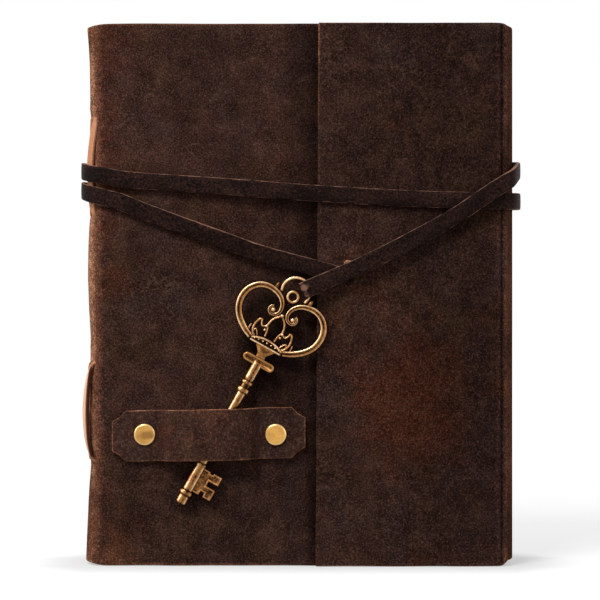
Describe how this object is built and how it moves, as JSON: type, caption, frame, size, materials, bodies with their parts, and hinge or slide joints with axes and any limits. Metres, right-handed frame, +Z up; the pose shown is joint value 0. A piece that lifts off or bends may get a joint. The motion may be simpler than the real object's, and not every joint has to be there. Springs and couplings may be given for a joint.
{
  "type": "leather tie journal",
  "caption": "Leather wrap journal with sewn paper signatures, a fore-edge flap, a wound tie lace and an ornamental key tucked under a riveted keeper strap.",
  "frame": {"origin": "middle of the journal's base, at the foot of its bounding box", "axes": "+Z up along the book's height, -Y out of the front cover, -X towards the spine"},
  "size_m": [0.1661, 0.0393, 0.2],
  "materials": {
    "hide": "oiled and waxed, dark brown, worn lighter at the edges",
    "lace": "dark brown with raw cut edges",
    "thong": "undyed tan",
    "paper": "uncoated cream",
    "rivet": "polished antique brass",
    "key": "antique brass with dark recesses"
  },
  "bodies": {
    "book": {"back_cover": "hide", "spine": "hide", "signature_1": "paper", "signature_2": "paper", "signature_3": "paper", "signature_4": "paper", "binding_thong_1": "thong", "binding_thong_2": "thong", "binding_thong_3": "thong", "binding_thong_4": "thong", "tie_lace": "lace"},
    "front": {"front_cover": "hide", "key_keeper": "hide", "rivet_cap_left": "rivet", "rivet_cap_right": "rivet", "rivet_back_left": "rivet", "rivet_back_right": "rivet"},
    "first_leaf": {"leaf_1": "paper"},
    "second_leaf": {"leaf_2": "paper"},
    "third_leaf": {"leaf_3": "paper"},
    "fold": {"fore_edge_fold": "hide"},
    "wrap": {"flap": "hide"},
    "key_body": {"key": "key"}
  },
  "joints": [
    {"name": "cover_open", "type": "hinge", "parent": "book", "child": "front", "pos_m": [-0.07025, -0.01187, 0.1], "axis": [0, 0, -1], "range_deg": [0, 170], "deforming": ["tie_lace", "flap"]},
    {"name": "leaf_turn_1", "type": "hinge", "parent": "book", "child": "first_leaf", "pos_m": [-0.0644, -0.00917, 0.1], "axis": [0, 0, -1], "range_deg": [0, 133]},
    {"name": "leaf_turn_2", "type": "hinge", "parent": "book", "child": "second_leaf", "pos_m": [-0.0619, -0.00847, 0.1], "axis": [0, 0, -1], "range_deg": [0, 120]},
    {"name": "leaf_turn_3", "type": "hinge", "parent": "book", "child": "third_leaf", "pos_m": [-0.0594, -0.00777, 0.1], "axis": [0, 0, -1], "range_deg": [0, 106]},
    {"name": "fold_open", "type": "hinge", "parent": "book", "child": "fold", "pos_m": [0.07435, 0.01623, 0.1], "axis": [0, 0, 1], "range_deg": [0, 90], "deforming": ["tie_lace", "flap"]},
    {"name": "flap_open", "type": "hinge", "parent": "fold", "child": "wrap", "pos_m": [0.07435, -0.01417, 0.1], "axis": [0, 0, 1], "range_deg": [0, 90], "deforming": ["tie_lace", "flap"]},
    {"name": "key_slide", "type": "slide", "parent": "front", "child": "key_body", "axis": [0.4868, -0.0227, 0.8732], "range_m": [0, 0.045], "deforming": ["tie_lace", "key_keeper"]}
  ],
  "couplings": [
    {"joint": "leaf_turn_1", "follows": "cover_open", "ratio": 0.78},
    {"joint": "leaf_turn_2", "follows": "cover_open", "ratio": 0.7},
    {"joint": "leaf_turn_3", "follows": "cover_open", "ratio": 0.62}
  ]
}
